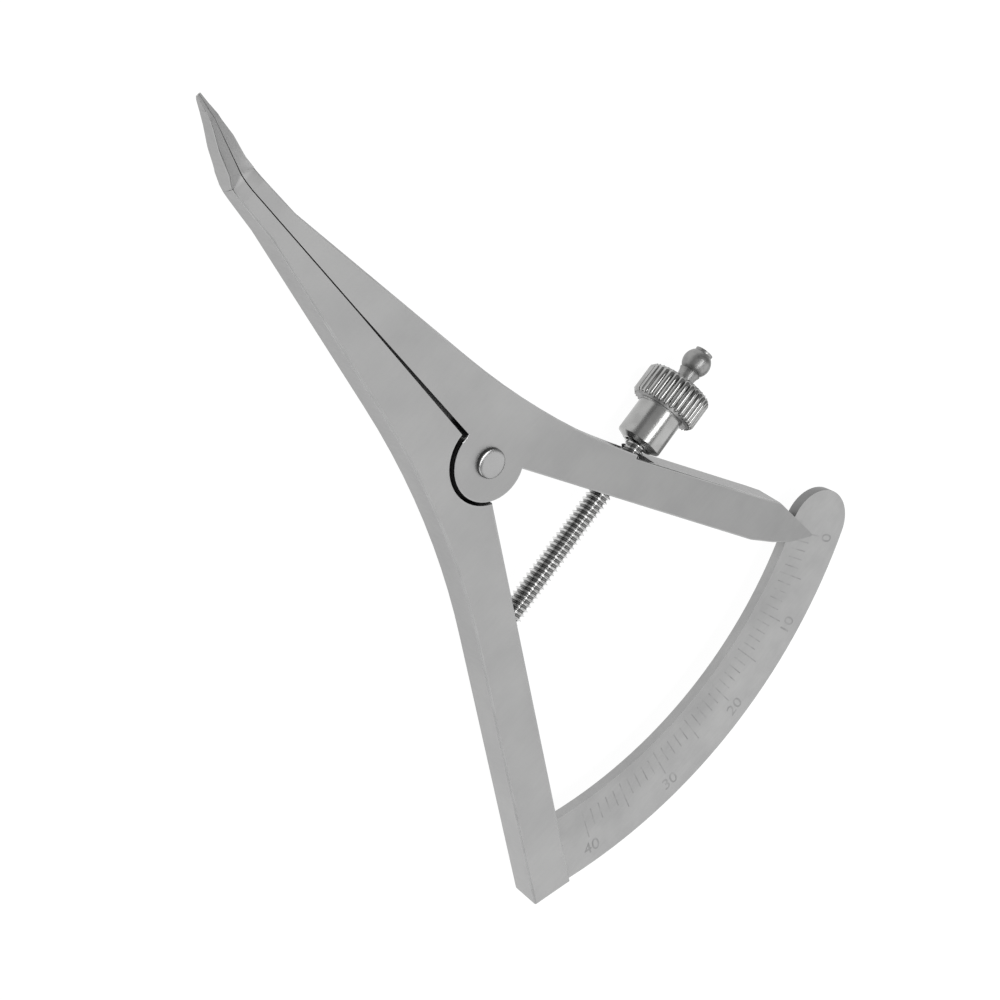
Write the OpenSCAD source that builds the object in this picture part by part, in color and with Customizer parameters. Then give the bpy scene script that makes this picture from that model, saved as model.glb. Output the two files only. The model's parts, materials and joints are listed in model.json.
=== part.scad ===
// Castroviejo caliper. All sizes are in millimetres.
// The hinge axis is +Z, +Y runs along the slit to the tips, and the graduated face looks along +Z.
// The back faces of the arms lie at z = 0. The jaws are drawn closed.

/* [Arms] */
// Thickness of both arms
arm_thickness = 3.7; // [3.5:0.05:4.0]
// Distance from the hinge axis to the tips, along the slit
jaw_length = 46.1; // [45:0.25:48]
// Half width across one arm at the hinge, if its jaw edge ran straight on
jaw_half_width = 6.25; // [6.1:0.05:6.6]
// Angle between the slit and a jaw's outer edge
jaw_taper = 8.87; // [8.6:0.05:9.0]
// Radius that joins a jaw's outer edge to its handle
waist_radius = 85; // [75:1:95]
// Width that the slit would have at the hinge axis
slit_root = 0.58; // [0.4:0.02:0.6]
// Width of the slit where it stops narrowing, a little below the middle of the jaws
slit_middle = 0.13; // [0.1:0.01:0.16]
// Width of the slit between the tips
slit_tip = 0.06; // [0.04:0.01:0.1]
// Angle between the pointer arm's handle and the slit
pointer_lean = 26; // [25.5:0.1:26.5]
// Where the pointer arm's outer handle edge would cross the level of the hinge
pointer_offset = 5.24; // [5.1:0.02:5.4]
// Angle between the scale arm's handle and the slit
scale_lean = 27.2; // [26.8:0.1:27.6]
// Where the scale arm's outer handle edge would cross the level of the hinge
scale_offset = 5.58; // [5.4:0.02:5.7]

/* [Tips] */
// Angle by which the tips rise out of the plane of the arms
tip_rise = 38.4; // [37:0.2:40]
// Length of the raised part of the tips, along the slit
tip_length = 10.1; // [9.5:0.1:11]
// Width of one tip at its blunt end
tip_width = 0.12; // [0.1:0.02:0.2]
// Thickness of a tip before its end is cut down
tip_depth = 1; // [0.8:0.05:1.2]

/* [Hinge] */
// Radius of each arm's round half of the lap joint
boss_radius = 3.87; // [3.7:0.01:3.9]
// Radius of the hollow that each arm cuts for the other one's round half
hollow_radius = 4.22; // [4.2:0.01:4.35]
// Distance from the hinge axis to the middle of a hollow, towards the tips
hollow_shift = 0.15; // [0.05:0.01:0.15]
// Gap between the two halves of the lap joint
lap_gap = 0.1; // [0.06:0.02:0.16]
// Diameter of the rivet's shank
rivet_diameter = 2; // [1.8:0.05:2.2]
// Radial play of the pointer arm on the rivet
rivet_play = 0.04; // [0.02:0.01:0.06]
// Diameter of the rivet's round head
rivet_head_diameter = 2.95; // [2.8:0.05:3.2]
// Height of the rivet's head above the front face
rivet_head_height = 0.5; // [0.4:0.02:0.6]
// Diameter of the rivet's closed end on the back
rivet_foot_diameter = 2.6; // [2.4:0.05:2.8]
// Depth of the taper that holds the closed end
rivet_foot_depth = 0.6; // [0.4:0.05:0.8]

/* [Scale] */
// Inner radius of the graduated arc about the hinge axis
arc_inner_radius = 43.1; // [42.9:0.05:43.3]
// Width of the graduated arc
arc_width = 8.2; // [7.8:0.05:8.5]
// Thickness of the graduated arc
arc_thickness = 1.2; // [1.1:0.02:1.3]
// Direction of the centre of the arc's rounded free end
arc_free_angle = -60.2; // [-61:0.1:-60]
// Gap between the arc and each cheek of the pointer arm's fork
fork_gap = 0.15; // [0.1:0.01:0.2]
// Gap between the arc's inner edge and the floor of the fork's slot
fork_clearance = 0.3; // [0.2:0.05:0.5]
// Distance that the pointer reaches over the arc from its inner edge
pointer_overlap = 3.3; // [2.9:0.1:3.7]
// Height of the pointer's end above the arc
pointer_edge = 0.3; // [0.26:0.02:0.4]
// Length of the cheeks' slope before they reach the arc
cheek_length = 6.3; // [5.5:0.1:7]
// Lean of the flat on the pointer arm's outer edge, from the nut to the arc
edge_lean = 5.5; // [4:0.5:7]
// Diameter of the two pins that hold the arc in the scale arm
arc_pin_diameter = 1; // [0.9:0.05:1.2]

/* [Rod] */
// Thread diameter of the rod
rod_diameter = 2.48; // [2.4:0.01:2.55]
// Angle between the rod and +X with the jaws closed
rod_lean = 5.28; // [5:0.04:5.4]
// Distance from the hinge axis down to the rod, along the slit
rod_drop = 14.8; // [14.7:0.05:14.9]
// Distance from the slit to the pin that the rod swings on
rod_pin_offset = 10.75; // [10.7:0.05:10.8]
// Diameter of the rod's pin
rod_pin_diameter = 1.2; // [1.1:0.05:1.3]
// Diameter of the flat eye at the rod's end
eye_diameter = 3; // [2.9:0.05:3.1]
// Radial play of the eye on its pin
eye_play = 0.04; // [0.02:0.01:0.06]
// Gap between the rod and the slots it passes
rod_gap = 0.2; // [0.18:0.01:0.22]
// Diameter of the rod's turned-down end
neck_diameter = 1.9; // [1.8:0.05:2]
// Distance from the rod's pin to the middle of the ball
ball_reach = 33.72; // [33.6:0.05:33.9]
// Diameter of the ball
ball_diameter = 2.9; // [2.7:0.05:3]

/* [Nut] */
// Gap between the nut's seat and the pointer arm
seat_gap = 0.2; // [0.2:0.02:0.4]
// Length of the seat's taper
seat_length = 0.4; // [0.4:0.05:0.6]
// Diameter of the seat's narrow end
seat_diameter = 3.4; // [3.3:0.05:3.5]
// Length of the smooth sleeve
sleeve_length = 3.75; // [3.6:0.05:3.85]
// Diameter of the smooth sleeve
sleeve_diameter = 4.8; // [4.7:0.05:5]
// Length of the knurled head
head_length = 3.5; // [3.3:0.05:3.6]
// Diameter of the knurled head
head_diameter = 7.1; // [6.9:0.05:7.2]
// Width of the bevels on the knurled head
head_bevel = 0.4; // [0.3:0.05:0.5]
// Radial play of the nut on the rod
nut_play = 0.08; // [0.05:0.01:0.1]

/* [Hidden] */
$fn = 72;
fine = 180;
mid = arm_thickness / 2;
bend_start = jaw_length - tip_length;
arc_outer_radius = arc_inner_radius + arc_width;
arc_middle = arc_inner_radius + arc_width / 2;
tip_top = arm_thickness + tip_length * tan(tip_rise);
waist_steps = 10;
bore_margin = arm_thickness / 4;
reach = 2 * arc_outer_radius;
pointer_angle = -61.6;
pointer_radius = arc_inner_radius + pointer_overlap;
fork_radius = arc_inner_radius - fork_clearance;
cheek_radius = arc_inner_radius - cheek_length;
pointer_level = mid + arc_thickness / 2 + pointer_edge;
flank_lean = 4;
flank_heading = 8.5;
arc_hidden_angle = -121.6;
pin_angle = -119.9;
pin_inset = 1.25 * arc_pin_diameter + arc_width / 12;
pin_radii = [arc_inner_radius + pin_inset, arc_outer_radius - pin_inset];
rod_pin = [-rod_pin_offset, -rod_drop - rod_pin_offset * tan(rod_lean)];
slot_inner = 0.955 * rod_drop;
slot_outer = 1.325 * rod_drop;
eye_slot_radius = eye_diameter / 2 + rod_gap;
rivet_bore = rivet_diameter + 2 * rivet_play;
slot_height = rod_diameter + 2 * rod_gap;
eye_bore = rod_pin_diameter + 2 * eye_play;
nut_bore = rod_diameter + 2 * nut_play;
nut_tilt = pointer_lean - rod_lean;
arm_crossing = (pointer_offset - rod_pin[1] * tan(pointer_lean) - rod_pin[0])
  / (cos(rod_lean) + sin(rod_lean) * tan(pointer_lean));
nut_seat = arm_crossing + seat_diameter / 2 * tan(nut_tilt) + seat_gap / cos(nut_tilt);
head_start = nut_seat + seat_length + sleeve_length;
head_end = head_start + head_length;
thread_end = head_end - head_bevel;

function polar(radius, angle) = radius * [cos(angle), sin(angle)];

// Where the straight jaw edge and the straight handle edge of the right-hand arm would meet
function waist_corner(lean, offset) =
  let (y = (offset - jaw_half_width) / (tan(lean) - tan(jaw_taper)))
  [jaw_half_width - y * tan(jaw_taper), y];

// The hollow curve that joins those two edges
function waist(lean, offset) =
  let (
    first = jaw_taper - 180,
    last = lean - 180,
    middle = (first + last) / 2,
    centre = waist_corner(lean, offset) + polar(waist_radius / cos((last - first) / 2), middle + 180)
  )
  [for (i = [0:waist_steps]) centre + polar(waist_radius, first + (last - first) * i / waist_steps)];

// Outline of a right-hand arm seen from the front, the handle's end given by its own corners
module arm_outline(lean, offset, end_corners) {
  polygon(concat(
    [
      [slit_root / 2, 0],
      [slit_middle / 2, 0.45 * jaw_length],
      [slit_tip / 2, jaw_length],
      [slit_tip / 2 + tip_width, jaw_length],
      [0.049 * jaw_half_width, jaw_length - 0.15 * tip_length],
      [0.077 * jaw_half_width, jaw_length - 0.31 * tip_length],
      [0.135 * jaw_half_width, jaw_length - 0.55 * tip_length],
      [0.158 * jaw_half_width, jaw_length - 0.8 * tip_length],
      [0.199 * jaw_half_width, jaw_length - 0.97 * tip_length],
      [jaw_half_width - (jaw_length - 1.5 * tip_length) * tan(jaw_taper), jaw_length - 1.5 * tip_length]
    ],
    waist(lean, offset),
    end_corners
  ));
}

// Side view of an arm: flat handle and jaw, then the tip that rises towards the front
module arm_side() {
  rotate([90, 0, 90])
    linear_extrude(height = reach, center = true)
      polygon([
        [-reach, 0],
        [jaw_length - 1.5 * tip_length, 0],
        [jaw_length - 1.22 * tip_length, 0.15 * arm_thickness],
        [jaw_length - 1.06 * tip_length, 0.28 * arm_thickness],
        [jaw_length - 0.83 * tip_length, 0.68 * arm_thickness],
        [jaw_length - tip_depth / 2, tip_top - tip_depth / cos(tip_rise) - tip_depth / 2],
        [jaw_length - tip_depth / 10, tip_top - tip_depth / cos(tip_rise)],
        [jaw_length, tip_top - 0.67 * tip_depth / cos(tip_rise)],
        [jaw_length - 0.25 * tip_length, arm_thickness + 0.75 * tip_length * tan(tip_rise)],
        [bend_start, arm_thickness],
        [-reach, arm_thickness]
      ]);
}

module arm_body(lean, offset, end_corners) {
  intersection() {
    linear_extrude(height = tip_top + bore_margin)
      arm_outline(lean, offset, end_corners);
    arm_side();
  }
}

// Round slot with a flat floor, cut into the scale arm for the rod's eye
module eye_slot() {
  translate([rod_pin[0], rod_pin[1], mid - slot_height / 2]) {
    cylinder(r = eye_slot_radius, h = slot_height);
    translate([0, -eye_slot_radius, 0])
      cube([2 * eye_diameter, 2 * eye_slot_radius, slot_height]);
  }
}

module scale_arm() {
  color([0.67, 0.68, 0.69])
    difference() {
      union() {
        difference() {
          mirror([1, 0, 0])
            arm_body(scale_lean, scale_offset, [
              polar(0.9947 * arc_outer_radius, -57.41),
              polar(0.9849 * arc_outer_radius, -62.61),
              polar(1.04 * hollow_radius, -55.87)
            ]);
          translate([0, hollow_shift, mid - lap_gap / 2])
            cylinder(r = hollow_radius, h = arm_thickness, $fn = fine);
        }
        cylinder(r = boss_radius, h = mid - lap_gap / 2, $fn = fine);
      }
      translate([0, 0, -bore_margin])
        cylinder(d = rivet_diameter, h = arm_thickness + 2 * bore_margin);
      cylinder(d1 = rivet_foot_diameter, d2 = rivet_diameter, h = rivet_foot_depth);
      eye_slot();
      translate([rod_pin[0], rod_pin[1], -bore_margin])
        cylinder(d = rod_pin_diameter, h = arm_thickness + 2 * bore_margin);
      translate([0, 0, mid - arc_thickness / 2])
        linear_extrude(height = arc_thickness)
          arc_seat_outline();
      for (radius = pin_radii)
        translate([each polar(radius, pin_angle), -bore_margin])
          cylinder(d = arc_pin_diameter, h = arm_thickness + 2 * bore_margin);
    }
}

// Plan of the slot in the scale arm's end, which the arc fills
module arc_seat_outline() {
  difference() {
    circle(r = reach, $fn = fine);
    circle(r = arc_inner_radius, $fn = fine);
    polygon([[0, 0], polar(2 * reach, arc_hidden_angle), [-2 * reach, 0], [0, 2 * reach]]);
  }
}

module pointer_arm() {
  color([0.64, 0.65, 0.66])
    difference() {
      union() {
        difference() {
          arm_body(pointer_lean, pointer_offset, [
            polar(0.923 * arc_inner_radius, -57.1),
            polar(1.019 * arc_inner_radius, -59.2),
            polar(pointer_radius, pointer_angle + 0.15),
            polar(pointer_radius, pointer_angle - 0.15),
            polar(arc_inner_radius, -63.2),
            polar(0.985 * arc_inner_radius, -63.38),
            polar(0.93 * arc_inner_radius, -63.95),
            polar(0.845 * arc_inner_radius, -64.45),
            polar(1.042 * boss_radius, -60.3)
          ]);
          translate([0, hollow_shift, -bore_margin])
            cylinder(r = hollow_radius, h = mid + lap_gap / 2 + bore_margin, $fn = fine);
        }
        translate([0, 0, mid + lap_gap / 2])
          cylinder(r = boss_radius, h = mid - lap_gap / 2, $fn = fine);
      }
      cylinder(d = rivet_bore, h = arm_thickness + bore_margin);
      rotate([0, 0, pointer_lean - 90])
        translate([slot_inner, -reach / 8, mid - slot_height / 2])
          cube([slot_outer - slot_inner, reach / 4, slot_height]);
      translate([0, 0, mid - arc_thickness / 2 - fork_gap])
        difference() {
          cylinder(r = reach, h = arc_thickness + 2 * fork_gap, $fn = fine);
          translate([0, 0, -bore_margin])
            cylinder(r = fork_radius, h = arc_thickness + 2 * fork_gap + 2 * bore_margin, $fn = fine);
        }
      cheek_slope();
      translate([0, 0, arm_thickness])
        mirror([0, 0, 1])
          cheek_slope();
      flank_slope();
      edge_slope();
    }
}

// Wedge taken off the front cheek, so that the pointer ends close above the arc
module cheek_slope() {
  rotate([0, 0, pointer_angle])
    rotate([90, 0, 0])
      linear_extrude(height = reach / 4, center = true)
        polygon([
          [cheek_radius, arm_thickness],
          [pointer_radius, pointer_level],
          [pointer_radius + pointer_overlap, pointer_level],
          [pointer_radius + pointer_overlap, arm_thickness + bore_margin],
          [cheek_radius, arm_thickness + bore_margin]
        ]);
}

// Flat that narrows the pointer's outer flank towards the front
module flank_slope() {
  translate([each polar(pointer_radius, pointer_angle + 0.15), mid + arc_thickness / 2])
    rotate([0, -flank_lean, flank_heading])
      translate([0, -reach / 4, -reach / 4])
        cube(reach / 2);
}

// Flat on the outer edge that leans inwards towards the front
module edge_slope() {
  rotate([0, 0, pointer_lean - 90])
    translate([(slot_inner + slot_outer) / 2, pointer_offset * cos(pointer_lean), 0])
      rotate([edge_lean, 0, 0])
        translate([0, 0, -reach / 4])
          cube(reach / 2);
}

module scale_arc() {
  color([0.7, 0.71, 0.72])
    difference() {
      translate([0, 0, mid - arc_thickness / 2])
        union() {
          rotate([0, 0, arc_hidden_angle])
            rotate_extrude(angle = arc_free_angle - arc_hidden_angle, $fn = 2 * fine)
              translate([arc_inner_radius, 0])
                square([arc_width, arc_thickness]);
          translate(polar(arc_middle, arc_free_angle))
            cylinder(d = arc_width, h = arc_thickness);
        }
      for (radius = pin_radii)
        translate([each polar(radius, pin_angle), -bore_margin])
          cylinder(d = arc_pin_diameter, h = arm_thickness + 2 * bore_margin);
    }
}

module hinge_rivet() {
  color([0.72, 0.73, 0.74]) {
    cylinder(d1 = rivet_foot_diameter, d2 = rivet_diameter, h = rivet_foot_depth);
    cylinder(d = rivet_diameter, h = arm_thickness + rivet_head_height / 2);
    translate([0, 0, arm_thickness])
      cylinder(d1 = rivet_head_diameter, d2 = 0.86 * rivet_head_diameter, h = rivet_head_height);
  }
}

module arc_pins() {
  color([0.66, 0.67, 0.68])
    for (radius = pin_radii)
      translate(polar(radius, pin_angle))
        cylinder(d = arc_pin_diameter, h = arm_thickness);
}

// Places its children with the rod's pin as origin and the rod along +X
module along_rod() {
  translate([rod_pin[0], rod_pin[1], mid])
    rotate([0, 0, rod_lean])
      children();
}

module threaded_rod() {
  color([0.75, 0.75, 0.76])
    along_rod()
      difference() {
        union() {
          translate([0, 0, -rod_diameter / 2])
            cylinder(d = eye_diameter, h = rod_diameter);
          rotate([0, 90, 0])
            cylinder(d = rod_diameter, h = thread_end);
          rotate([0, 90, 0])
            cylinder(d = neck_diameter, h = ball_reach + ball_diameter / 2);
        }
        translate([0, 0, -rod_diameter])
          cylinder(d = eye_bore, h = 2 * rod_diameter);
      }
}

module eye_pin() {
  color([0.66, 0.67, 0.68])
    translate(rod_pin)
      cylinder(d = rod_pin_diameter, h = arm_thickness);
}

// Half section of the nut: length along the rod, then radius
module nut_section() {
  polygon([
    [nut_bore / 2, nut_seat],
    [seat_diameter / 2, nut_seat],
    [sleeve_diameter / 2, nut_seat + seat_length],
    [sleeve_diameter / 2, head_start],
    [head_diameter / 2 - head_bevel, head_start],
    [head_diameter / 2, head_start + head_bevel],
    [head_diameter / 2, head_end - head_bevel],
    [head_diameter / 2 - head_bevel, head_end],
    [nut_bore / 2, head_end]
  ]);
}

module knurled_nut() {
  color([0.78, 0.78, 0.79])
    along_rod()
      rotate([0, 90, 0])
        rotate_extrude()
          nut_section();
}

module stop_ball() {
  color([0.8, 0.8, 0.81])
    along_rod()
      rotate([0, 90, 0])
        translate([0, 0, ball_reach])
          rotate_extrude()
            difference() {
              circle(d = ball_diameter);
              translate([-ball_diameter, -ball_diameter])
                square([ball_diameter + neck_diameter / 2, 2 * ball_diameter]);
            }
}

scale_arm();
pointer_arm();
scale_arc();
hinge_rivet();
arc_pins();
threaded_rod();
eye_pin();
knurled_nut();
stop_ball();
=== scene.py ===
# Jaw caliper with a graduated arc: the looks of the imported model.
# Lengths in the dictionaries are in millimetres unless they say otherwise, the scene is in metres.
# The jaws are closed, the slit runs along +Y and the hinge axis along +Z.
import json
import math

import bmesh
import bpy
from mathutils import Matrix, Vector


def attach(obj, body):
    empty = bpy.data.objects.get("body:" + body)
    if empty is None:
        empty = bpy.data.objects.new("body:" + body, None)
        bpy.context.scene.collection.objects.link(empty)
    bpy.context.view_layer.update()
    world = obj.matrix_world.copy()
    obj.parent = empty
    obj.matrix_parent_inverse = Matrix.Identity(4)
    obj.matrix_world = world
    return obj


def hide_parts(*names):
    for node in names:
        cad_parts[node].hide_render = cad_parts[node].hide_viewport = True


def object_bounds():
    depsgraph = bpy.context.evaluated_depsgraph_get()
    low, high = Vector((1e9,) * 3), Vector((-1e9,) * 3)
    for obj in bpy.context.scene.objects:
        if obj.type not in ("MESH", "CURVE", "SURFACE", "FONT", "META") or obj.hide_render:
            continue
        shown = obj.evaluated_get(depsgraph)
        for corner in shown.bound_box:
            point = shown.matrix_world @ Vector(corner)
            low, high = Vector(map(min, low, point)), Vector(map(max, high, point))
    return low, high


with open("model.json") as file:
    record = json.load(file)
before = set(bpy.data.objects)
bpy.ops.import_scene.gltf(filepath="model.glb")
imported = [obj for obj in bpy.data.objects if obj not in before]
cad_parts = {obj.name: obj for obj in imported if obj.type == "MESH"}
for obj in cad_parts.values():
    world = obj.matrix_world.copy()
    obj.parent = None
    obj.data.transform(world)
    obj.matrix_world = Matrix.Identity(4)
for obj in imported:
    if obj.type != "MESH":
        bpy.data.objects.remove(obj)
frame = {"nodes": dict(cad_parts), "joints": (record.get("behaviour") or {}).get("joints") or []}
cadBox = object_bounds()
nodes = frame["nodes"]
joints = {joint["name"]: joint for joint in frame["joints"]}
mm = 0.001


def polar(radius, degrees, height=0.0):
    turn = math.radians(degrees)
    return Vector((radius * math.cos(turn), radius * math.sin(turn), height))


# materials: steels that differ in tone, grain and gloss, some with painted light and shade

def startMaterial(name):
    material = bpy.data.materials.new(name)
    material.use_nodes = True
    return material, material.node_tree.nodes, material.node_tree.links


def noiseOn(tree, links, grainTurn, stretch, scale, detail):
    # noise drawn out along one direction of the object, as a grinding belt leaves it
    place = tree.new("ShaderNodeTexCoord")
    mapping = tree.new("ShaderNodeMapping")
    mapping.inputs["Rotation"].default_value = (0, 0, math.radians(grainTurn))
    mapping.inputs["Scale"].default_value = stretch
    noise = tree.new("ShaderNodeTexNoise")
    noise.inputs["Scale"].default_value = scale
    noise.inputs["Detail"].default_value = detail
    links.new(place.outputs["Object"], mapping.inputs["Vector"])
    links.new(mapping.outputs["Vector"], noise.inputs["Vector"])
    return noise.outputs["Fac"]


def spread(tree, links, source, low, high, lowOut, highOut):
    # takes a value from one range to another and stops it at the ends
    node = tree.new("ShaderNodeMapRange")
    node.inputs["From Min"].default_value = low
    node.inputs["From Max"].default_value = high
    node.inputs["To Min"].default_value = lowOut
    node.inputs["To Max"].default_value = highOut
    links.new(source, node.inputs["Value"])
    return node.outputs["Result"]


def alongSlit(tree, links):
    place = tree.new("ShaderNodeTexCoord")
    split = tree.new("ShaderNodeSeparateXYZ")
    links.new(place.outputs["Object"], split.inputs["Vector"])
    return split.outputs["Y"]


def fromHinge(tree, links):
    place = tree.new("ShaderNodeTexCoord")
    flat = tree.new("ShaderNodeVectorMath")
    flat.operation = "MULTIPLY"
    flat.inputs[1].default_value = (1, 1, 0)
    length = tree.new("ShaderNodeVectorMath")
    length.operation = "LENGTH"
    links.new(place.outputs["Object"], flat.inputs[0])
    links.new(flat.outputs["Vector"], length.inputs[0])
    return length.outputs["Value"]


def rootDepth(tree, links):
    # stored by the thread's node tree, 0 on its crest and 1 at its root
    depth = tree.new("ShaderNodeAttribute")
    depth.attribute_name = "rootDepth"
    return depth.outputs["Fac"]


def toneRun(tree, links, colour, values, unit, stops):
    # a tone that changes with a value, times a colour; a stop is (value in its unit, tone)
    first, last = stops[0][0], stops[-1][0]
    ramp = tree.new("ShaderNodeValToRGB")
    for extra in stops[2:]:
        ramp.color_ramp.elements.new((extra[0] - first) / (last - first))
    for element, (value, tone) in zip(ramp.color_ramp.elements, stops):
        element.position = (value - first) / (last - first)
        element.color = (tone, tone, tone, 1)
    links.new(spread(tree, links, values, first * unit, last * unit, 0, 1), ramp.inputs["Fac"])
    shade = tree.new("ShaderNodeMix")
    shade.data_type = "RGBA"
    shade.blend_type = "MULTIPLY"
    shade.inputs["Factor"].default_value = 1.0
    links.new(colour, shade.inputs["A"])
    links.new(ramp.outputs["Color"], shade.inputs["B"])
    return shade.outputs["Result"]


# what a look may name: tones along the slit, round the hinge, and from the thread's crest to its root, which
# several looks use for painted light and shade
toneKeys = {"slitStops": (alongSlit, mm), "ringStops": (fromHinge, mm), "depthStops": (rootDepth, 1)}
finish = {"cloudDetail": 3, "grainDetail": 4, "noiseLow": 0.3, "noiseHigh": 0.7, "bumpHeight": 0.02}


def steel(name, look):
    # slow clouds vary the tone, fine grain varies the gloss and the bump
    material, tree, links = startMaterial(name)
    shader = tree["Principled BSDF"]
    shader.inputs["Metallic"].default_value = 1.0
    turn, noiseRange = look["grainTurn"], (finish["noiseLow"], finish["noiseHigh"])
    cloud = noiseOn(tree, links, turn, (1, 1, 1), look["cloudScale"], finish["cloudDetail"])
    grain = noiseOn(tree, links, turn, look["stretch"], look["grainScale"], finish["grainDetail"])
    mix = tree.new("ShaderNodeMix")
    mix.data_type = "RGBA"
    mix.inputs["A"].default_value = look["dark"]
    mix.inputs["B"].default_value = look["light"]
    links.new(spread(tree, links, cloud, *noiseRange, 0, 1), mix.inputs["Factor"])
    colour = mix.outputs["Result"]
    for key, (values, unit) in toneKeys.items():
        if key in look:
            colour = toneRun(tree, links, colour, values(tree, links), unit, look[key])
    links.new(colour, shader.inputs["Base Color"])
    links.new(spread(tree, links, grain, *noiseRange, *look["roughness"]), shader.inputs["Roughness"])
    bump = tree.new("ShaderNodeBump")
    bump.inputs["Strength"].default_value = look["bump"]
    bump.inputs["Distance"].default_value = finish["bumpHeight"] * mm
    links.new(grain, bump.inputs["Height"])
    links.new(bump.outputs["Normal"], shader.inputs["Normal"])
    return material


def grey(level, warmth=0):
    return (level, level, level - warmth, 1)


steelLooks = {
    # painted shade: the scale arm darkens from the waist on towards the jaws
    "scaleArm": {"grainTurn": -62, "dark": grey(0.385), "light": grey(0.425, 0.002), "cloudScale": 160,
                 "stretch": (0.12, 1, 1), "grainScale": 4200, "roughness": (0.40, 0.46), "bump": 0.06,
                 "slitStops": [(-51, 1.0), (-45, 1.0), (-20, 0.92), (46, 0.92)]},
    # painted shade: the scale arm's outer wall darkens along the arm towards the jaws
    "scaleWallPaintedShade": {"grainTurn": 0, "dark": grey(0.385), "light": grey(0.425, 0.002), "cloudScale": 160,
                  "stretch": (1, 1, 0.2), "grainScale": 4200, "roughness": (0.40, 0.46), "bump": 0.06,
                  "slitStops": [(-51, 1.0), (-30, 1.0), (-15, 0.91), (-5, 0.88), (12, 0.82), (46, 0.78)]},
    # painted shade: the slit's wall is near black beside the hinge and lightens along the jaw
    "slitWallPaintedShade": {"grainTurn": 0, "dark": grey(0.36), "light": grey(0.40), "cloudScale": 300,
                 "stretch": (1, 1, 1), "grainScale": 4200, "roughness": (0.42, 0.5), "bump": 0.06,
                 "slitStops": [(3, 0.08), (9, 0.12), (16, 0.6), (21, 1.0)]},
    "pointerArm": {"grainTurn": 64, "dark": grey(0.35), "light": grey(0.39, 0.002), "cloudScale": 160,
                   "stretch": (0.12, 1, 1), "grainScale": 4200, "roughness": (0.40, 0.46), "bump": 0.06,
                   "slitStops": [(-44, 0.89), (-18, 0.86), (-8, 0.885), (2, 0.99), (46, 1.02)]},
    # painted light: the tips' front is much brighter than the arms, with a painted bright band across the fold
    # and darker towards the points
    "tipFrontPaintedLight": {"grainTurn": 0, "dark": grey(0.60), "light": grey(0.64, 0.002), "cloudScale": 200,
                 "stretch": (0.2, 1, 1), "grainScale": 4200, "roughness": (0.42, 0.48), "bump": 0.05,
                 "slitStops": [(34.7, 0.585), (35.3, 0.61), (36, 0.66), (36.4, 0.84), (36.8, 0.94),
                               (37.5, 0.89), (38.5, 0.78), (40, 0.69), (42, 0.66), (44, 0.62), (46, 0.55)]},
    "scaleArc": {"grainTurn": 0, "dark": grey(0.365), "light": grey(0.425, 0.002), "cloudScale": 220,
                 "stretch": (0.2, 1, 1), "grainScale": 3600, "roughness": (0.38, 0.46), "bump": 0.08,
                 "ringStops": [(43, 0.905), (45.2, 0.91), (47.2, 0.985), (48.5, 1.0), (52, 1.0)]},
    # painted shade: the arc's walls are darker than its face, darkest at its free end
    "arcWallPaintedShade": {"grainTurn": 0, "dark": grey(0.345), "light": grey(0.395, 0.002), "cloudScale": 220,
                "stretch": (0.2, 1, 1), "grainScale": 3600, "roughness": (0.38, 0.46), "bump": 0.08},
    "arcEndPaintedShade": {"grainTurn": 0, "dark": grey(0.20), "light": grey(0.24), "cloudScale": 300,
               "stretch": (1, 1, 0.3), "grainScale": 3600, "roughness": (0.38, 0.46), "bump": 0.06},
    "edge": {"grainTurn": 0, "dark": grey(0.33), "light": grey(0.39), "cloudScale": 300,
             "stretch": (1, 1, 1), "grainScale": 3600, "roughness": (0.18, 0.24), "bump": 0.05},
    "rivet": {"grainTurn": 20, "dark": grey(0.36), "light": grey(0.40), "cloudScale": 300,
              "stretch": (0.3, 1, 1), "grainScale": 3600, "roughness": (0.24, 0.28), "bump": 0.02},
    # painted shade: a dark ring on the upright wall of the rivet's head
    "rivetWallPaintedShade": {"grainTurn": 0, "dark": grey(0.12), "light": grey(0.16), "cloudScale": 300,
                  "stretch": (1, 1, 1), "grainScale": 3600, "roughness": (0.40, 0.48), "bump": 0.04},
    "bright": {"grainTurn": 0, "dark": grey(0.35, 0.005), "light": grey(0.43, 0.005), "cloudScale": 700,
               "stretch": (1, 1, 1), "grainScale": 3600, "roughness": (0.22, 0.28), "bump": 0.04},
    "knurl": {"grainTurn": 0, "dark": grey(0.34, 0.005), "light": grey(0.44, 0.005), "cloudScale": 700,
              "stretch": (1, 1, 1), "grainScale": 3600, "roughness": (0.12, 0.20), "bump": 0.04},
    # painted light and shade: a steel brighter than the rest, lightest on the thread's flanks and darkened on its
    # crests and in its roots
    "thread": {"grainTurn": 0, "dark": grey(0.85, 0.005), "light": grey(0.92, 0.005), "cloudScale": 700,
               "stretch": (1, 1, 1), "grainScale": 3600, "roughness": (0.20, 0.26), "bump": 0.02,
               "depthStops": [(0.0, 0.52), (0.3, 1.0), (0.85, 0.27)]},
    "ball": {"grainTurn": 0, "dark": grey(0.24), "light": grey(0.34, 0.005), "cloudScale": 900,
             "stretch": (1, 1, 1), "grainScale": 3000, "roughness": (0.36, 0.46), "bump": 0.16},
    "engraved": {"grainTurn": 0, "dark": grey(0.26), "light": grey(0.38), "cloudScale": 900,
                 "stretch": (1, 1, 1), "grainScale": 3600, "roughness": (0.42, 0.52), "bump": 0.08},
    # painted shade: near black, laid on the lapped faces and the hollow's wall round the hinge
    "creviceShade": {"grainTurn": 0, "dark": grey(0.02), "light": grey(0.04), "cloudScale": 600,
                "stretch": (1, 1, 1), "grainScale": 3000, "roughness": (0.5, 0.65), "bump": 0.1},
}
steels = {name: steel(name + "Steel", look) for name, look in steelLooks.items()}
print("materials made")


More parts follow.
